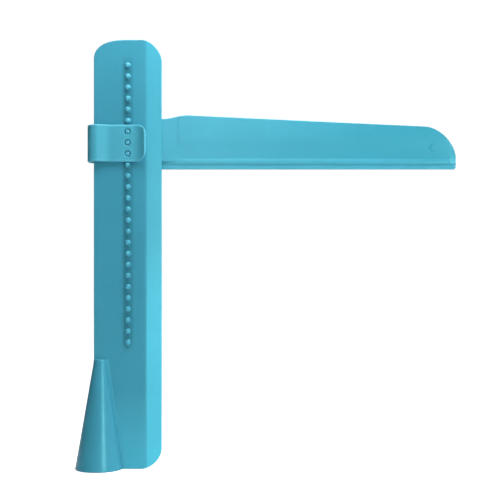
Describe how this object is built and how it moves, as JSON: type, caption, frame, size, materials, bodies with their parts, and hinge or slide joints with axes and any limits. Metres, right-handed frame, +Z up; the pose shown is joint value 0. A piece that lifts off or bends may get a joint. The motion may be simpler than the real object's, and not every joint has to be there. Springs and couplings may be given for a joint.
{
  "type": "cake smoother",
  "caption": "Adjustable cake smoother: an upright scraper board on a cone foot, with height pips up its face and a level smoothing arm that clips round the board and slides on it.",
  "frame": {"origin": "at the middle of the cone foot's base, in the plane of that base, which the tool stands on", "axes": "+Z up the board, +X from the cone foot towards the arm's tip, -Y the front with the pips"},
  "size_m": [0.2227, 0.028, 0.25],
  "materials": {
    "blue_plastic": "satin moulded sky-blue plastic"
  },
  "bodies": {
    "board": {"scraper_board": "blue_plastic"},
    "arm": {"sliding_arm": "blue_plastic"},
    "tab": {"spring_tab": "blue_plastic"}
  },
  "joints": [
    {"name": "arm_slide", "type": "slide", "parent": "board", "child": "arm", "axis": [0, 0, 1], "range_m": [-0.10948, 0.03864], "deforming": ["spring_tab"]},
    {"name": "tab_flex", "type": "hinge", "parent": "arm", "child": "tab", "pos_m": [-0.006, -0.0004, 0.18941], "axis": [0, 0, -1], "range_deg": [0, 8], "stiffness_Nm_per_rad": 0.9, "springref_deg": -0.57}
  ]
}
